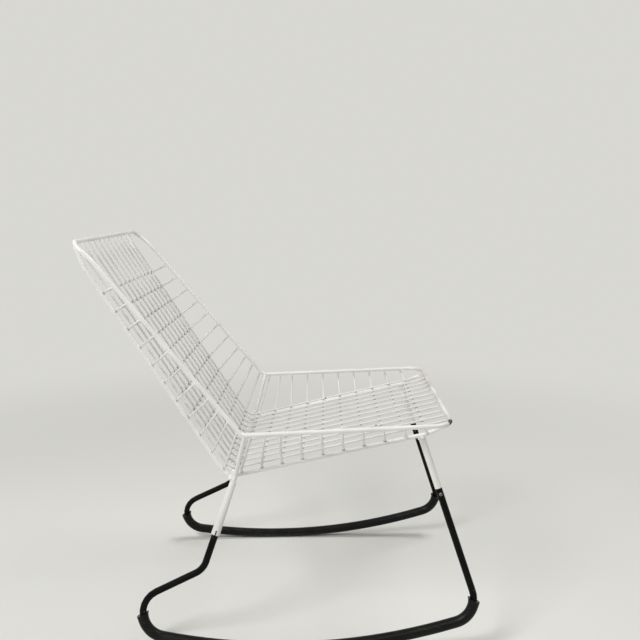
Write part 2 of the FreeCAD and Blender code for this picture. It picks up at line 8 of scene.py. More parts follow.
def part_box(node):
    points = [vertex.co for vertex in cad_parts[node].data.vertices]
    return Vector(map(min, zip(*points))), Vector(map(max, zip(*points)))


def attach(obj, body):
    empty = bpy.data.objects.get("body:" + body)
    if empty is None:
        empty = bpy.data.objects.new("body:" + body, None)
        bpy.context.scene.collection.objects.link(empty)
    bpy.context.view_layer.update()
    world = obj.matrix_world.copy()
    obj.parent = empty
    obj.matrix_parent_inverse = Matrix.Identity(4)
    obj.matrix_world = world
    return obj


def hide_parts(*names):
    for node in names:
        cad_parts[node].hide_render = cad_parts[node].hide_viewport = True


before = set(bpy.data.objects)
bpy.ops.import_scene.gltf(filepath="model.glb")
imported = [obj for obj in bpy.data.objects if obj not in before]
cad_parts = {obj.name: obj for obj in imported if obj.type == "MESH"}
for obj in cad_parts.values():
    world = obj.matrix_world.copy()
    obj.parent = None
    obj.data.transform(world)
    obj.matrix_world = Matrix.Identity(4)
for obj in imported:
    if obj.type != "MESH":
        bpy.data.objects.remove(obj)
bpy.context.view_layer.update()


# Lower rails: a steel rod along each lower edge of seat and back, painted white with the shell.
# Each is one rod, bent at the fold, with its ends turned in and welded under the rim.
# Every rod of the chair is made from its corner points and bend radii, as on a bending bench.

class Link:
    """An output in a node tree. Arithmetic on it adds Math nodes, and node() adds any other node."""

    def __init__(self, tree, socket):
        self.tree = tree
        self.socket = socket

    def node(self, kind, settings, sockets, output=0):
        made = self.tree.nodes.new(kind)
        for name, value in settings.items():
            setattr(made, name, value)
        for name, value in sockets.items():
            if isinstance(value, Link):
                self.tree.links.new(value.socket, made.inputs[name])
            else:
                made.inputs[name].default_value = value
        return Link(self.tree, made.outputs[output])

    def math(self, operation, first, second):
        return self.node("ShaderNodeMath", {"operation": operation}, {0: first, 1: second})

    def __add__(self, other):
        return self.math("ADD", self, other)

    def __radd__(self, other):
        return self.math("ADD", other, self)

    def __sub__(self, other):
        return self.math("SUBTRACT", self, other)

    def __rsub__(self, other):
        return self.math("SUBTRACT", other, self)

    def __mul__(self, other):
        return self.math("MULTIPLY", self, other)

    def __rmul__(self, other):
        return self.math("MULTIPLY", other, self)

    def __truediv__(self, other):
        return self.math("DIVIDE", self, other)


def start_tree(name, inputs):
    """A Geometry Nodes tree with named inputs. Returns the tree and the links of its inputs."""
    tree = bpy.data.node_groups.new(name, "GeometryNodeTree")
    tree.interface.new_socket("Geometry", in_out="OUTPUT", socket_type="NodeSocketGeometry")
    tree.interface.new_socket("Geometry", in_out="INPUT", socket_type="NodeSocketGeometry")
    for label, kind in inputs.items():
        tree.interface.new_socket(label, in_out="INPUT", socket_type=kind)
    entry = tree.nodes.new("NodeGroupInput")
    return tree, {socket.name: Link(tree, socket) for socket in entry.outputs if socket.name}


def end_tree(shape, finish):
    """Ends a tree: instances made real, the finish set, and the result handed out."""
    real = shape.node("GeometryNodeRealizeInstances", {}, {"Geometry": shape})
    done = real.node("GeometryNodeSetMaterial", {}, {"Geometry": real, "Material": finish})
    leave = done.tree.nodes.new("NodeGroupOutput")
    done.tree.links.new(done.socket, leave.inputs[0])


def run_tree(name, tree, start, values):
    """Runs a tree on a starting mesh, and returns an object with the result as its plain mesh."""
    piece = bpy.data.objects.new(name, start)
    bpy.context.scene.collection.objects.link(piece)
    modifier = piece.modifiers.new(tree.name, "NODES")
    modifier.node_group = tree
    for item in tree.interface.items_tree:
        if item.in_out == "INPUT" and item.name in values:
            modifier[item.identifier] = values[item.name]
    bpy.context.view_layer.update()
    seen = piece.evaluated_get(bpy.context.evaluated_depsgraph_get())
    made = bpy.data.meshes.new_from_object(seen)
    piece.modifiers.remove(modifier)
    piece.data = made
    made.name = name
    bpy.data.meshes.remove(start)
    return piece


def sweep(inputs):
    """Links a rod's corner points to its rounded centre line, without doubled points."""
    line = inputs["Geometry"].node("GeometryNodeMeshToCurve", {}, {"Mesh": inputs["Geometry"]})
    bend = line.node("GeometryNodeInputNamedAttribute", {"data_type": "FLOAT"}, {"Name": "bend"})
    sockets = {"Curve": line, "Count": inputs["Bend Steps"], "Radius": bend}
    round_line = line.node("GeometryNodeFilletCurve", {"mode": "POLY"}, sockets)
    points = round_line.node("GeometryNodeCurveToMesh", {}, {"Curve": round_line})
    merged = points.node("GeometryNodeMergeByDistance", {}, {"Geometry": points, "Distance": 0.0001})
    return merged.node("GeometryNodeMeshToCurve", {}, {"Mesh": merged})


def skin(line, inputs, scale):
    """Links a centre line to a round skin with flat ends."""
    circle = {"Resolution": inputs["Sides"], "Radius": inputs["Diameter"] * 0.5}
    section = line.node("GeometryNodeCurvePrimitiveCircle", {}, circle)
    sockets = {"Curve": line, "Profile Curve": section, "Scale": scale, "Fill Caps": True}
    wall = line.node("GeometryNodeCurveToMesh", {}, sockets)
    corners = wall.node("GeometryNodeInputMeshFaceNeighbors", {}, {}, "Vertex Count")
    is_side = corners.math("LESS_THAN", corners, 4.5)
    return wall.node("GeometryNodeSetShadeSmooth", {}, {"Geometry": wall, "Shade Smooth": is_side})


rod_inputs = {
    "Diameter": "NodeSocketFloat",
    "Sides": "NodeSocketInt",
    "Bend Steps": "NodeSocketInt",
    "Finish": "NodeSocketMaterial",
}
rod_tree, rod_in = start_tree("bent_rod", rod_inputs)
end_tree(skin(sweep(rod_in), rod_in, 1.0), rod_in["Finish"])


def corner_line(corners, bends, closed=False):
    """The corner points of a rod as a line of edges, with the bend radius at each corner."""
    count = len(corners)
    edges = [(number, number + 1) for number in range(count - 1)]
    if closed:
        edges.append((count - 1, 0))
    line = bpy.data.meshes.new("corners")
    line.from_pydata(corners, edges, [])
    line.attributes.new("bend", "FLOAT", "POINT").data.foreach_set("value", bends)
    return line


def bent_rod(name, corners, bends, diameter, finish, sides=16, closed=False):
    values = {"Diameter": diameter, "Sides": sides, "Bend Steps": 10, "Finish": finish}
    return run_tree(name, rod_tree, corner_line(corners, bends, closed), values)


def fit(piece, slot, *nodes):
    """The piece belongs to the chair and stands for the nodes. The slot is not used."""
    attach(piece, "root")
    if nodes:
        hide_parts(*nodes)


def new_finish(name):
    finish = bpy.data.materials.new(name)
    finish.use_nodes = True
    tree = finish.node_tree
    place = Link(tree, tree.nodes.new("ShaderNodeTexCoord").outputs["Object"])
    return finish, tree.nodes["Principled BSDF"], place


def feed(shader, values):
    for name, value in values.items():
        if isinstance(value, Link):
            value.tree.links.new(value.socket, shader.inputs[name])
        else:
            shader.inputs[name].default_value = value


def speckle(place, scale, detail):
    return place.node("ShaderNodeTexNoise", {}, {"Vector": place, "Scale": scale, "Detail": detail})


def rise(value, low, high):
    sockets = {"Value": value, "From Min": low, "From Max": high}
    return value.node("ShaderNodeMapRange", {"interpolation_type": "SMOOTHSTEP"}, sockets)


def over(mask, under, top):
    return mask.node("ShaderNodeMix", {"data_type": "RGBA"}, {0: mask, 6: under, 7: top}, 2)


def bump(height, distance):
    return height.node("ShaderNodeBump", {}, {"Height": height, "Strength": 1.0, "Distance": distance})


back_lean = math.radians(32.4)
seat_slope = math.radians(13.2)
up_back = Vector((0, math.sin(back_lean), math.cos(back_lean)))
along_seat = Vector((0, -math.cos(seat_slope), math.sin(seat_slope)))
back_in = Vector((0, -math.cos(back_lean), math.sin(back_lean)))
seat_in = Vector((0, math.sin(seat_slope), math.cos(seat_slope)))
inwards = (back_in + seat_in).normalized()
half_fold = up_back.angle(along_seat) / 2
corner_cut = 1 / math.sin(half_fold) - 1
back_reach = 0.502
seat_reach = 0.420
wire_radius = 0.0021
rail_radius = 0.0038
rim_radius = 0.0041
rail_depth = rail_radius + wire_radius
long_depth = 2 * wire_radius
rim_depth = long_depth + wire_radius + rim_radius
rail_bend = 0.020
rail_climb = rail_depth + rim_depth - rim_radius - rail_radius
rail_tip_bend = 0.040
rail_tip_run = 0.046
rail_fold_half = 0.188
rail_seat_half = 0.199
rail_back_half = 0.1875
bar_low, bar_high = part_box("fold_bar")
bar_rise = rail_bend * corner_cut + 2 * rail_radius - rail_depth / math.sin(half_fold)
fold = (bar_low + bar_high) / 2 - inwards * bar_rise
rail_fold = fold - inwards * (rail_depth / math.sin(half_fold))
SIDES = {"left": 1, "right": -1}


def at_x(point, across):
    return Vector((across, point.y, point.z))


def rail_half_at(panel, share):
    reach = {"seat": seat_reach, "back": back_reach}[panel]
    end_half = {"seat": rail_seat_half, "back": rail_back_half}[panel]
    return rail_fold_half + (end_half - rail_fold_half) * share / reach


# White enamel: warm white, a little uneven, rubbed brownish along the front rail, with small chips.
rim_front = fold + along_seat * seat_reach + seat_in * rim_depth
rub_starts = 0.018
rub_full = 0.002
chip_across = -0.2145
chip_behind = 0.0042
chip_core = 0.005
chip_edge = 0.014
chipped_corner = at_x(rim_front, chip_across) + Vector((0, chip_behind, 0))
rubbed_brown = (0.42, 0.35, 0.27, 1)
bare_steel = (0.05, 0.045, 0.04, 1)


def white_enamel(name, clean, dull):
    finish, shader, place = new_finish(name)
    axes = place.node("ShaderNodeSeparateXYZ", {}, {"Vector": place}).socket.node.outputs
    ahead = 0 - Link(place.tree, axes["Y"])
    cloud = speckle(place, 14, 3)
    peel = speckle(place, 420, 2)
    crumbs = speckle(place, 95, 5)
    rubbed = rise(ahead, -rim_front.y - rub_starts, -rim_front.y - rub_full) * rise(cloud, 0.38, 0.62)
    from_corner = place.node(
        "ShaderNodeVectorMath", {"operation": "DISTANCE"}, {0: place, 1: chipped_corner}, "Value"
    )
    corner_chip = 1 - rise(from_corner, chip_core, chip_edge)
    chips = rise(crumbs + rubbed * 0.05 + corner_chip * 0.34, 0.735, 0.76)
    enamel = over(rise(cloud, 0.3, 0.75), clean, dull)
    enamel = over(rubbed * 0.42, enamel, rubbed_brown)
    feed(shader, {
        "Base Color": over(chips, enamel, bare_steel),
        "Roughness": 0.30 + cloud * 0.16 + chips * 0.3,
        "Coat Weight": 0.12,
        "Normal": bump(peel * 0.6 + crumbs - chips * 0.8, 0.00012),
    })
    return finish


white_paint = white_enamel("white_paint", (0.88, 0.875, 0.85, 1), (0.80, 0.79, 0.755, 1))


for name, side in SIDES.items():
    corner = at_x(rail_fold, side * rail_fold_half)
    seat_run = along_seat * seat_reach + Vector((side * (rail_seat_half - rail_fold_half), 0, 0))
    back_run = up_back * back_reach + Vector((side * (rail_back_half - rail_fold_half), 0, 0))
    ends = []
    for run, other, reach in ((seat_run, back_run, seat_reach), (back_run, seat_run, back_reach)):
        ahead = run.normalized()
        lift = (other - ahead * other.dot(ahead)).normalized()
        turned = corner + ahead * (reach - rail_tip_run)
        ends.append((turned, turned + ahead * rail_tip_run + lift * rail_climb))
    (seat_turn, seat_tip), (back_turn, back_tip) = ends
    rail = bent_rod(
        f"{name}_rail",
        [seat_tip, seat_turn, corner, back_turn, back_tip],
        [0, rail_tip_bend, rail_bend, rail_tip_bend, 0],
        2 * rail_radius,
        white_paint,
    )
    fit(rail, "white_paint", f"{name}_lower_rail")


# Fold bar: a straight white rod across the line where seat and back meet.
# It lies in the bend of both rails and is welded to them, and the lengthwise wires bend over it.
bar_ends = [at_x(fold + inwards * bar_rise, reach) for reach in (bar_low.x, bar_high.x)]
bar = bent_rod("fold_rod", bar_ends, [0, 0], 2 * rail_radius, white_paint)
fit(bar, "white_paint", "fold_bar")


# Cross wires: 21 thin white wires, each bent up over both rails with its ends standing in the rim.
# They are welded on the rails, and their ends fan out from the rim's kink.
kink_forward = 0.0314
kink_rise = 0.0889
rim_kink = fold + Vector((0, -kink_forward, kink_rise))
rim_kink_half = 0.238
rim_top_half = 0.222
rim_front_half = 0.233
rim_top = fold + up_back * back_reach + back_in * rim_depth
kink_corner = at_x(rim_kink, rim_kink_half)
top_corner = at_x(rim_top, rim_top_half)
front_corner = at_x(rim_front, rim_front_half)
shoulder_run = 0.046
shoulder_in = 0.007
down_side = (kink_corner - top_corner).normalized()
shoulder = top_corner + down_side * shoulder_run + back_in * shoulder_in
# The wires' enamel is a little darker than the rim's white: painted shade for the thin wires' shaded
# sides.
shaded_wire_paint = white_enamel("shaded_wire_paint", (0.82, 0.815, 0.79, 1), (0.73, 0.72, 0.685, 1))
wing_bend = 0.009
wing_tip_bend = 0.008
wing_tip_run = 0.012
rim_fan = 0.025
PANELS = {
    "back": {
        "direction": up_back, "normal": back_in, "rim_end": shoulder, "count": 11,
        "first": 0.014, "pitch": 0.0388, "rim_first": 0.012, "rim_start": -0.020, "rim_pitch": 0.0363,
    },
    "seat": {
        "direction": along_seat, "normal": seat_in, "rim_end": front_corner, "count": 10,
        "first": 0.0243, "pitch": 0.0388, "rim_first": 0.016, "rim_start": -0.005, "rim_pitch": 0.0365,
    },
}
rail_bead = 0.0030
rim_tip_bead = 0.0027
bead_spots = []
joint_spots = []
for panel, plan in PANELS.items():
    rim_run = (plan["rim_end"] - kink_corner).normalized()
    for number in range(plan["count"]):
        share = plan["first"] + number * plan["pitch"]
        row = plan["rim_start"] + number * plan["rim_pitch"]
        rim_spot = kink_corner + rim_run * max(plan["rim_first"] + number * rim_fan, row)
        base = fold + plan["direction"] * share
        lift = at_x(rim_spot, 0) - base
        upright = lift.normalized()
        slant = abs(upright.dot(rim_run))
        tip = lift.length - (rim_radius + wire_radius * slant) / upright.cross(rim_run).length
        elbow = tip - wing_tip_run
        over_rail = rail_half_at(panel, share)

        # The bend's place and its angle depend on each other, and a few rounds settle both.
        turn = math.atan2(elbow, rim_spot.x - over_rail)
        for _ in range(4):
            bend_at = over_rail + wing_bend * math.tan(turn / 2)
            turn = math.atan2(elbow, rim_spot.x - bend_at)
        half = [(bend_at, 0, wing_bend), (rim_spot.x, elbow, wing_tip_bend), (rim_spot.x, tip, 0)]
        whole = [(-across, up, bend) for across, up, bend in reversed(half)] + half
        corners = [base + upright * up + Vector((across, 0, 0)) for across, up, bend in whole]
        wire = bent_rod(
            f"{panel}_wire_{number + 1:02d}",
            corners,
            [bend for across, up, bend in whole],
            2 * wire_radius,
            shaded_wire_paint,
            sides=12,
        )
        fit(wire, "white_paint", f"{panel}_cross_wire_{number + 1:02d}")
        for side in SIDES.values():
            bead_spots.append((at_x(base - plan["normal"] * wire_radius, side * over_rail), rail_bead))
            joint_spots.append((corners[0 if side < 0 else -1], rim_tip_bead))


# Lengthwise wires: 12 thin white wires from the top rail over the fold bar to the front rail.
# Each is one wire, welded to every cross wire under it and bent round the fold bar.
long_pitch = 0.0322
long_count = 12
long_lap = 0.003
crossing_bead = 0.0025
wire_end_bead = 0.0024
long_corner = fold + inwards * (long_depth / math.sin(half_fold))
long_shift = long_depth / math.tan(half_fold)
bar_to_wire = bar_rise + rail_radius + wire_radius
long_bend = (bar_to_wire - long_depth / math.sin(half_fold)) / corner_cut
long_top = long_corner + up_back * (back_reach + long_lap - long_shift)
long_front = long_corner + along_seat * (seat_reach + long_lap - long_shift)
for number in range(long_count):
    across = (number - (long_count - 1) / 2) * long_pitch
    corners = [at_x(point, across) for point in (long_top, long_corner, long_front)]
    wire = bent_rod(
        f"long_wire_{number + 1:02d}", corners, [0, long_bend, 0], 2 * wire_radius, shaded_wire_paint, sides=12
    )
    fit(wire, "white_paint", f"lengthwise_wire_{number + 1:02d}")
    for plan in PANELS.values():
        for row in range(plan["count"]):
            base = fold + plan["direction"] * (plan["first"] + row * plan["pitch"])
            bead_spots.append((at_x(base + plan["normal"] * wire_radius, across), crossing_bead))
    bead_spots.append((at_x(rim_top - back_in * rim_radius, across), wire_end_bead))
    bead_spots.append((at_x(rim_front - seat_in * rim_radius, across), wire_end_bead))


# Rim: one closed loop of white rod, from the top rail down both sides, over the kinks to the front.
# It is bent from one length and butt welded, and every wire of the shell ends in it.
top_bend = 0.028
shoulder_bend = 0.150
kink_bend = 0.015
front_rail_bend = 0.035
half_rim = [
    (top_corner, top_bend),
    (shoulder, shoulder_bend),
    (kink_corner, kink_bend),
    (front_corner, front_rail_bend),
]
rim_loop = half_rim + [(at_x(point, -point.x), bend) for point, bend in reversed(half_rim)]
rim = bent_rod(
    "rim_rod",
    [point for point, bend in rim_loop],
    [bend for point, bend in rim_loop],
    2 * rim_radius,
    white_paint,
    sides=20,
    closed=True,
)
fit(rim, "white_paint", "rim")


# Side frames: each is one bent steel tube in black enamel, front leg, runner, curl, brace and rear leg.
# Both ends are held in the white leg joints by a lock screw.
black_paint, black_shader, place = new_finish("black_paint")
cloud = speckle(place, 22, 3)
nicks = rise(speckle(place, 130, 5), 0.70, 0.73)
drawn_along = place.node("ShaderNodeMapping", {}, {"Vector": place, "Scale": (900, 60, 900)})
scratches = speckle(drawn_along, 1, 2)
nick_grey = (0.16, 0.145, 0.13, 1)
gloss_black = over(rise(cloud, 0.35, 0.7), (0.0016, 0.0016, 0.0018, 1), (0.0040, 0.0038, 0.0036, 1))
feed(black_shader, {
    "Base Color": over(nicks, gloss_black, nick_grey),
    "Roughness": 0.22 + cloud * 0.14 + rise(scratches, 0.5, 0.8) * 0.12 + nicks * 0.25,
    "Specular IOR Level": 0.10,
    "Normal": bump(speckle(place, 380, 2) - nicks, 0.00010),
})

tube_dia = 0.0128
hose_dia = 0.0200
hose_flat = 0.0004
half_track = 0.245
contact_y = 0.0288
post_radius = 0.00425
post_sink = 0.0005
front_weld_reach = 0.3668
rear_weld_reach = 0.0156
runner_radius = 1.150
front_bend = 0.045
curl_radius = 0.0442
curl_back = 0.1835
brace = math.pi - math.radians(26.3)
knee_bend = 0.038
knee_back = 0.1148
down_leg = -math.pi / 2 - math.radians(18.6)
stub_length = 0.1015
socket_drop = 0.009
socket_length = 0.104
socket_depth = 0.042
hose_bare = math.radians(14)
hose_curl = math.radians(84)
routes = {}


def on_bend(centre, radius, heading):
    """Point of a bend, in the frame's plane, where the tube has a heading."""
    return centre + Vector((math.sin(heading), -math.cos(heading))) * radius


def bend_corner(centre, radius, first, last):
    """Where the tangents at a bend's first and last heading meet."""
    return on_bend(centre, radius / math.cos((last - first) / 2), (first + last) / 2)


for name, side in SIDES.items():
    contact = Vector((side * half_track, contact_y, hose_dia / 2 - hose_flat))
    beside_rail = rail_half_at("seat", rear_weld_reach) + rail_radius + post_radius - post_sink
    rear_weld = at_x(rail_fold + along_seat * rear_weld_reach, side * beside_rail)
    under_rail = side * rail_half_at("seat", front_weld_reach)
    front_weld = at_x(rail_fold + along_seat * front_weld_reach, under_rail)
    normal = (rear_weld - contact).cross(front_weld - contact)
    back = normal.cross(Vector((0, 0, 1))).normalized()
    back = back if back.y > 0 else -back
    up = back.cross(normal).normalized()
    up = up if up.z > 0 else -up

    # The leg's run and the circle of the runner give the centre of the front bend.
    leg = Vector((math.cos(down_leg), math.sin(down_leg)))
    weld = Vector(((front_weld - contact).dot(back), (front_weld - contact).dot(up)))
    runner_centre = Vector((0, runner_radius))
    start = weld + Vector((-leg.y, leg.x)) * front_bend - runner_centre
    along = start.dot(leg)
    leg_length = math.sqrt(along ** 2 + (runner_radius - front_bend) ** 2 - start.dot(start)) - along
    bend_centre = start + leg * leg_length
    runner_start = math.atan2(bend_centre.x, -bend_centre.y)
    bend_centre += runner_centre
    curl_up = runner_radius - math.sqrt((runner_radius - curl_radius) ** 2 - curl_back ** 2)
    curl_centre = Vector((curl_back, curl_up))
    runner_end = math.atan2(curl_back, runner_radius - curl_up)

    # Corners of the tube and the hose, where their straight runs or the tangents of their bends meet.
    brace_start = on_bend(curl_centre, curl_radius, brace)
    knee = Vector((knee_back, brace_start.y + (brace_start.x - knee_back) * math.tan(math.pi - brace)))
    rear_flat = Vector(((rear_weld - contact).dot(back), (rear_weld - contact).dot(up)))
    rear_run = (rear_flat - knee).normalized()
    rear_end = rear_flat - rear_run * (socket_drop + socket_length - socket_depth)
    hose_start = down_leg + hose_bare
    hose_end = runner_end + hose_curl
    runner_corner = bend_corner(runner_centre, runner_radius, runner_start, runner_end)
    flat_routes = {
        "tube": [
            weld + leg * stub_length,
            bend_corner(bend_centre, front_bend, down_leg, runner_start),
            runner_corner,
            bend_corner(curl_centre, curl_radius, runner_end, brace),
            knee,
            rear_end,
        ],
        "hose": [
            on_bend(bend_centre, front_bend, hose_start),
            bend_corner(bend_centre, front_bend, hose_start, runner_start),
            runner_corner,
            bend_corner(curl_centre, curl_radius, runner_end, hose_end),
            on_bend(curl_centre, curl_radius, hose_end),
        ],
        "bend_centres": [bend_centre, curl_centre],
    }
    route = {
        part: [contact + back * point.x + up * point.y for point in points]
        for part, points in flat_routes.items()
    }
    route["rear_up"] = (back * rear_run.x + up * rear_run.y).normalized()
    route["down"] = (back * leg.x + up * leg.y).normalized()
    route["front_weld"] = front_weld
    route["rear_weld"] = rear_weld
    routes[name] = route
    tube_bends = [0, front_bend, runner_radius, curl_radius, knee_bend, 0]
    tube = bent_rod(f"{name}_frame_tube", route["tube"], tube_bends, tube_dia, black_paint, sides=24)
    fit(tube, "black_paint", f"{name}_side_frame")


# Runner hoses: a length of black rubber hose pushed over the front bend, the runner and the curl.
# Their cut ends have opened a little, and they are pressed flat where the chair stands on them.
hose_rubber, rubber_shader, place = new_finish("hose_rubber")
axes = place.node("ShaderNodeSeparateXYZ", {}, {"Vector": place}).socket.node.outputs
height = Link(place.tree, axes["Z"])
wear_height = 0.014
cloud = speckle(place, 17, 4)
grit = speckle(place, 260, 4)
lengthwise = place.node("ShaderNodeMapping", {}, {"Vector": place, "Scale": (300, 28, 300)})
scuffs = rise(speckle(lengthwise, 1, 3), 0.52, 0.72)
worn = rise(wear_height - height, 0.0, wear_height) * rise(grit, 0.4, 0.6)
rubber = over(rise(cloud, 0.35, 0.7), (0.0026, 0.0026, 0.0026, 1), (0.0060, 0.0058, 0.0056, 1))
scuff_grey = (0.09, 0.088, 0.085, 1)
worn_grey = (0.10, 0.097, 0.092, 1)
rubber = over(scuffs * 0.14, rubber, scuff_grey)
feed(rubber_shader, {
    "Base Color": over(worn * 0.5, rubber, worn_grey),
    "Roughness": 0.24 + cloud * 0.14 + scuffs * 0.16 + worn * 0.25,
    "Specular IOR Level": 0.16,
    "Normal": bump(grit + cloud * 0.5 - scuffs * 0.3, 0.00022),
})

hose_inputs = dict(rod_inputs)
hose_inputs["Ring Spacing"] = "NodeSocketFloat"
hose_inputs["Opening"] = "NodeSocketFloat"
hose_inputs["Opening Length"] = "NodeSocketFloat"
hose_inputs["End Slant"] = "NodeSocketFloat"
hose_inputs["Slant Length"] = "NodeSocketFloat"
hose_inputs["Front Bend Centre"] = "NodeSocketVector"
hose_inputs["Rear Bend Centre"] = "NodeSocketVector"
hose_tree, hose_in = start_tree("runner_hose", hose_inputs)
line = sweep(hose_in)
line = line.node(
    "GeometryNodeResampleCurve", {"mode": "LENGTH"}, {"Curve": line, "Length": hose_in["Ring Spacing"]}
)
run = line.node("GeometryNodeSplineParameter", {}, {}, "Length")
total = line.node("GeometryNodeSplineLength", {}, {}, "Length")
to_end = run.math("MINIMUM", run, total - run)
near_end = run.math("MAXIMUM", 1 - to_end / hose_in["Opening Length"], 0.0)
slanting = run.math("MAXIMUM", 1 - to_end / hose_in["Slant Length"], 0.0)
at_front = run.math("LESS_THAN", run, total * 0.5)


def vector(operation, first, second, output="Vector"):
    return run.node("ShaderNodeVectorMath", {"operation": operation}, {0: first, 1: second}, output)


# The hose was cut square, so round a bend its longer outer side stops short and the cut slants.
centre_line = run.node("GeometryNodeInputPosition", {}, {})
tangent = run.node("GeometryNodeInputTangent", {}, {})
pivot = run.node(
    "ShaderNodeMix",
    {"data_type": "VECTOR"},
    {0: at_front, 4: hose_in["Rear Bend Centre"], 5: hose_in["Front Bend Centre"]},
    1,
)
outwards = vector("SUBTRACT", centre_line, pivot)
outwards = outwards.node("ShaderNodeVectorMath", {"operation": "NORMALIZE"}, {0: outwards})
pull = slanting * hose_in["End Slant"] * (at_front * 2 - 1)
inner_edge = vector("DOT_PRODUCT", centre_line, outwards, "Value") - hose_in["Diameter"] * 0.5
for label, kind, value in (
    ("outwards", "FLOAT_VECTOR", outwards),
    ("tangent", "FLOAT_VECTOR", tangent),
    ("pull", "FLOAT", pull),
    ("inner_edge", "FLOAT", inner_edge),
):
    line = line.node(
        "GeometryNodeStoreNamedAttribute",
        {"data_type": kind, "domain": "POINT"},
        {"Geometry": line, "Name": label, "Value": value},
    )
hose_wall = skin(line, hose_in, 1 + near_end * near_end * hose_in["Opening"])


def stored(label, kind):
    return hose_wall.node("GeometryNodeInputNamedAttribute", {"data_type": kind}, {"Name": label})


spot = hose_wall.node("GeometryNodeInputPosition", {}, {})
reach_out = vector("DOT_PRODUCT", spot, stored("outwards", "FLOAT_VECTOR"), "Value")
from_inside = reach_out - stored("inner_edge", "FLOAT")
drawn = spot.node(
    "ShaderNodeVectorMath",
    {"operation": "SCALE"},
    {0: stored("tangent", "FLOAT_VECTOR"), "Scale": from_inside * stored("pull", "FLOAT")},
)
spot = vector("ADD", spot, drawn)
parts = spot.node("ShaderNodeSeparateXYZ", {}, {"Vector": spot}).socket.node.outputs
above_floor = spot.math("MAXIMUM", Link(hose_tree, parts["Z"]), 0.0)
pressed = spot.node(
    "ShaderNodeCombineXYZ",
    {},
    {"X": Link(hose_tree, parts["X"]), "Y": Link(hose_tree, parts["Y"]), "Z": above_floor},
)
end_tree(
    hose_wall.node("GeometryNodeSetPosition", {}, {"Geometry": hose_wall, "Position": pressed}),
    hose_in["Finish"],
)
for name in SIDES:
    front_centre, rear_centre = routes[name]["bend_centres"]
    hose = run_tree(
        f"{name}_hose",
        hose_tree,
        corner_line(routes[name]["hose"], [0, front_bend, runner_radius, curl_radius, 0]),
        {
            "Diameter": hose_dia,
            "Sides": 28,
            "Bend Steps": 20,
            "Finish": hose_rubber,
            "Ring Spacing": 0.003,
            "Opening": 0.08,
            "Opening Length": 0.012,
            "End Slant": 0.48,
            "Slant Length": 0.032,
            "Front Bend Centre": front_centre,
            "Rear Bend Centre": rear_centre,
        },
    )
    fit(hose, "hose_rubber", f"{name}_runner_hose")


# Rear posts: a white rod from each kink of the rim down the wing, past the rail, into the rear socket.
# It is welded to the rim, the rail and the fold bar's end, and its tail is hidden in the socket.
post_bend = 0.012
post_tail = 0.055
post_ahead = 0.005
kink_bead = 0.0048
seam_bead = 0.0032
seam_steps = (-0.006, -0.002, 0.002, 0.006)
bar_bead = 0.0042
bar_bead_rises = (0.008, 0.015)
bar_bead_share = 0.4
fillet_bead = 0.0045
fillet_in = 0.003
fillet_back = 0.0085
fillet_down = 0.004
for name, side in SIDES.items():
    route = routes[name]
    under_rim = at_x(rim_kink - Vector((0, post_ahead, 0)), side * rim_kink_half)
    wing = (route["rear_weld"] - under_rim).normalized()
    tail = route["rear_weld"] - route["rear_up"] * post_tail
    post = bent_rod(
        f"{name}_post",
        [under_rim + wing * rim_radius, route["rear_weld"], tail],
        [0, post_bend, 0],
        2 * post_radius,
        white_paint,
        sides=20,
    )
    fit(post, "white_paint", f"{name}_rear_post")
    joint_spots.append((under_rim + wing * rim_radius, kink_bead))
    for along in seam_steps:
        beside = route["rear_weld"] - Vector((side * post_radius, 0, 0)) + route["rear_up"] * along
        joint_spots.append((beside, seam_bead))
    bar_end = bar_ends[(side + 1) // 2]
    for along in bar_bead_rises:
        on_post = route["rear_weld"] - wing * along
        joint_spots.append((on_post.lerp(bar_end, bar_bead_share), bar_bead))
    behind = Vector((-side * fillet_in, fillet_back, -fillet_down))
    joint_spots.append((route["rear_weld"] + behind, fillet_bead))


# Rear sockets and front stubs: turned white leg joints, the socket slit at its mouth, the stub coped.
# Their solids are right as they are, and take the shell's enamel.
for name in SIDES:
    for node in (f"{name}_rear_socket", f"{name}_front_stub"):
        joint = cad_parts[node]
        joint.data.materials.clear()
        joint.data.materials.append(white_paint)


# Weld beads: a small drop of weld at every crossing of the shell and round the joints, painted over.
# Each is a rough ball sunk between the rods that it joins; those at the crossings are dark grey,
# painted shade of the nooks there.
collar_count = 12
collar_drop = 0.0015
collar_radius = 0.0055
collar_bead = 0.0027
for name in SIDES:
    route = routes[name]
    down = route["down"]
    collar_centre = route["front_weld"] + down * (rail_radius + collar_drop)
    for number in range(collar_count):
        spoke = down.orthogonal().normalized()
        spoke.rotate(Matrix.Rotation(number * 2 * math.pi / collar_count, 3, down))
        joint_spots.append((collar_centre + spoke * collar_radius, collar_bead))

bead_inputs = {
    "Bead Size": "NodeSocketFloat",
    "Unevenness": "NodeSocketFloat",
    "Seed": "NodeSocketInt",
    "Finish": "NodeSocketMaterial",
}
bead_tree, bead_in = start_tree("weld_beads", bead_inputs)
ball_shape = {"Segments": 9, "Rings": 6, "Radius": 1.0}
ball = bead_in["Geometry"].node("GeometryNodeMeshUVSphere", {}, ball_shape)
ball = ball.node("GeometryNodeSetShadeSmooth", {}, {"Geometry": ball})
wanted = ball.node("GeometryNodeInputNamedAttribute", {"data_type": "FLOAT"}, {"Name": "size"})
low = 1 - bead_in["Unevenness"]
high = 1 + bead_in["Unevenness"]
chance = ball.node(
    "FunctionNodeRandomValue", {"data_type": "FLOAT"}, {2: low, 3: high, "Seed": bead_in["Seed"]}, 1
)
beads = ball.node(
    "GeometryNodeInstanceOnPoints",
    {},
    {"Points": bead_in["Geometry"], "Instance": ball, "Scale": wanted * chance * bead_in["Bead Size"]},
)
end_tree(beads, bead_in["Finish"])
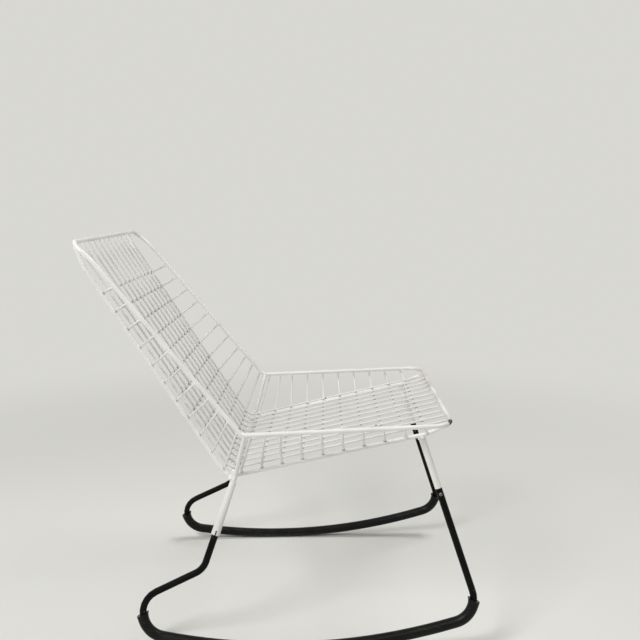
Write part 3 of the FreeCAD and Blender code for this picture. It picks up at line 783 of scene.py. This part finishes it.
# Dark grey enamel for the crossing beads: painted shade where the wires cross and where they meet the
# rails and the rim.
painted_shade_weld_paint = white_enamel("painted_shade_weld_paint", (0.36, 0.35, 0.32, 1), (0.26, 0.25, 0.23, 1))
weld_groups = {"weld_beads": (bead_spots, painted_shade_weld_paint), "joint_welds": (joint_spots, white_paint)}
for name, (spots, finish) in weld_groups.items():
    bead_points = bpy.data.meshes.new("bead_points")
    bead_points.from_pydata([spot for spot, size in spots], [], [])
    sizes = bead_points.attributes.new("size", "FLOAT", "POINT")
    sizes.data.foreach_set("value", [size for spot, size in spots])
    bead_values = {"Bead Size": 1.0, "Unevenness": 0.12, "Seed": 4, "Finish": finish}
    fit(run_tree(name, bead_tree, bead_points, bead_values), "white_paint")


# Lock screws: four small domed screws of blackened steel, each with a socket in its head.
# One goes into each leg joint. They hold the tubes in the sockets and on the stubs, and can be undone.
screw_steel, steel_shader, place = new_finish("screw_steel")
grain = speckle(place, 600, 4)
feed(steel_shader, {
    "Base Color": over(rise(grain, 0.35, 0.7), (0.22, 0.215, 0.205, 1), (0.12, 0.115, 0.11, 1)),
    "Metallic": 1.0,
    "Roughness": 0.26 + grain * 0.2,
    "Normal": bump(grain, 0.00004),
})

head_radius = 0.0032
head_rise = 0.002
shank_radius = 0.0015
shank_reach = 0.003
screw_sides = 24
socket_radius = 0.0013
socket_floor = 0.0008
socket_mouth_radius = 0.0083
socket_top_radius = 0.00625
front_screw_drop = 0.011
rear_screw_rise = 0.030
screw_outline = [
    (-shank_reach, shank_radius), (0.0, shank_radius), (0.0, head_radius),
    (0.45 * head_rise, head_radius), (0.75 * head_rise, 0.86 * head_radius),
    (0.94 * head_rise, 0.64 * head_radius), (head_rise, socket_radius), (socket_floor, socket_radius),
]
screw_mesh = bmesh.new()
for name, side in SIDES.items():
    route = routes[name]
    out = Vector((side, 0, 0))
    front_out = (out - route["down"] * out.dot(route["down"])).normalized()
    rear_out = (out - route["rear_up"] * out.dot(route["rear_up"])).normalized()
    front_hole = route["front_weld"] + route["down"] * (stub_length + front_screw_drop)
    mouth = route["rear_weld"] - route["rear_up"] * (socket_drop + socket_length)
    taper = (socket_mouth_radius - socket_top_radius) / socket_length
    rear_skin = socket_mouth_radius - taper * rear_screw_rise
    heads = [
        (front_hole + front_out * tube_dia / 2, front_out),
        (mouth + route["rear_up"] * rear_screw_rise - rear_out * rear_skin, -rear_out),
    ]
    for seat, axis in heads:
        turn = axis.to_track_quat("Z", "Y")
        rings = []
        for along, radius in screw_outline:
            ring = []
            for number in range(screw_sides):
                angle = number * 2 * math.pi / screw_sides
                flat = Vector((radius * math.cos(angle), radius * math.sin(angle), along))
                ring.append(screw_mesh.verts.new(seat + turn @ flat))
            rings.append(ring)
        for lower, upper in zip(rings, rings[1:]):
            for number in range(screw_sides):
                following = (number + 1) % screw_sides
                screw_mesh.faces.new((lower[number], lower[following], upper[following], upper[number]))
        screw_mesh.faces.new(reversed(rings[0]))
        screw_mesh.faces.new(rings[-1])
bmesh.ops.recalc_face_normals(screw_mesh, faces=screw_mesh.faces)
screw_data = bpy.data.meshes.new("screws")
screw_mesh.to_mesh(screw_data)
screw_mesh.free()
screw_data.materials.append(screw_steel)
screws = bpy.data.objects.new("screws", screw_data)
bpy.context.scene.collection.objects.link(screws)
fit(screws, "screw_steel", "lock_screws")


# Studio: a pale floor that fades into the pale background, a large soft lamp overhead, and one behind.
# The camera stands beside the chair, a little above it, with the chair's back to its left.
backdrop = (0.69, 0.685, 0.65, 1)
floor_radius = 9
fade_from = 0.7
fade_to = 2.4
fill_light = 0.30
floor_data = bpy.data.meshes.new("floor")
floor_shape = bmesh.new()
bmesh.ops.create_circle(floor_shape, cap_ends=True, segments=96, radius=floor_radius)
floor_shape.to_mesh(floor_data)
floor_shape.free()
floor = bpy.data.objects.new("floor", floor_data)
bpy.context.scene.collection.objects.link(floor)
floor_finish, floor_shader, place = new_finish("pale_floor")
feed(floor_shader, {"Base Color": (0.84, 0.835, 0.80, 1), "Roughness": 0.8})
reach = place.node("ShaderNodeVectorMath", {"operation": "LENGTH"}, {0: place}, "Value")
glow = place.node("ShaderNodeEmission", {}, {"Color": backdrop, "Strength": 1.0})
mixed = place.node(
    "ShaderNodeMixShader",
    {},
    {0: rise(reach, fade_from, fade_to), 1: Link(place.tree, floor_shader.outputs[0]), 2: glow},
)
floor_out = floor_finish.node_tree.nodes["Material Output"]
floor_finish.node_tree.links.new(mixed.socket, floor_out.inputs["Surface"])
floor_data.materials.append(floor_finish)

world = bpy.data.worlds.new("studio")
bpy.context.scene.world = world
world.use_nodes = True
sky = world.node_tree.nodes["Background"]
path = world.node_tree.nodes.new("ShaderNodeLightPath").outputs
seen = Link(world.node_tree, path["Is Camera Ray"])
seen = seen.math("MAXIMUM", seen, Link(world.node_tree, path["Is Glossy Ray"]))
seen = seen.math("MAXIMUM", seen, Link(world.node_tree, path["Is Transmission Ray"]))
feed(sky, {"Color": backdrop, "Strength": fill_light + seen * (1 - fill_light)})


def lamp(name, spot, aim, size, power):
    light = bpy.data.lights.new(name, "AREA")
    light.shape = "DISK"
    light.size = size
    light.energy = power
    holder = bpy.data.objects.new(name, light)
    holder.location = spot
    holder.rotation_euler = (Vector(aim) - Vector(spot)).to_track_quat("-Z", "Y").to_euler()
    bpy.context.scene.collection.objects.link(holder)


lamp("ceiling", (0.3, -1.5, 4.2), (0, 0, 0.3), 1.8, 75)
lamp("window", (-1.9, 1.6, 2.6), (0, 0, 0.4), 1.2, 62)

camera_data = bpy.data.cameras.new("camera")
camera_data.lens = 42.75
camera_data.sensor_width = 36
image_width = 640
camera_data.shift_x = -5 / image_width
camera = bpy.data.objects.new("camera", camera_data)
camera.location = (-1.537, -0.0828, 0.8303)
camera_tilt = 9.12
camera.rotation_euler = (math.radians(90 - camera_tilt), 0, math.radians(-90))
bpy.context.scene.collection.objects.link(camera)
bpy.context.scene.camera = camera
bpy.context.scene.view_settings.view_transform = "Standard"
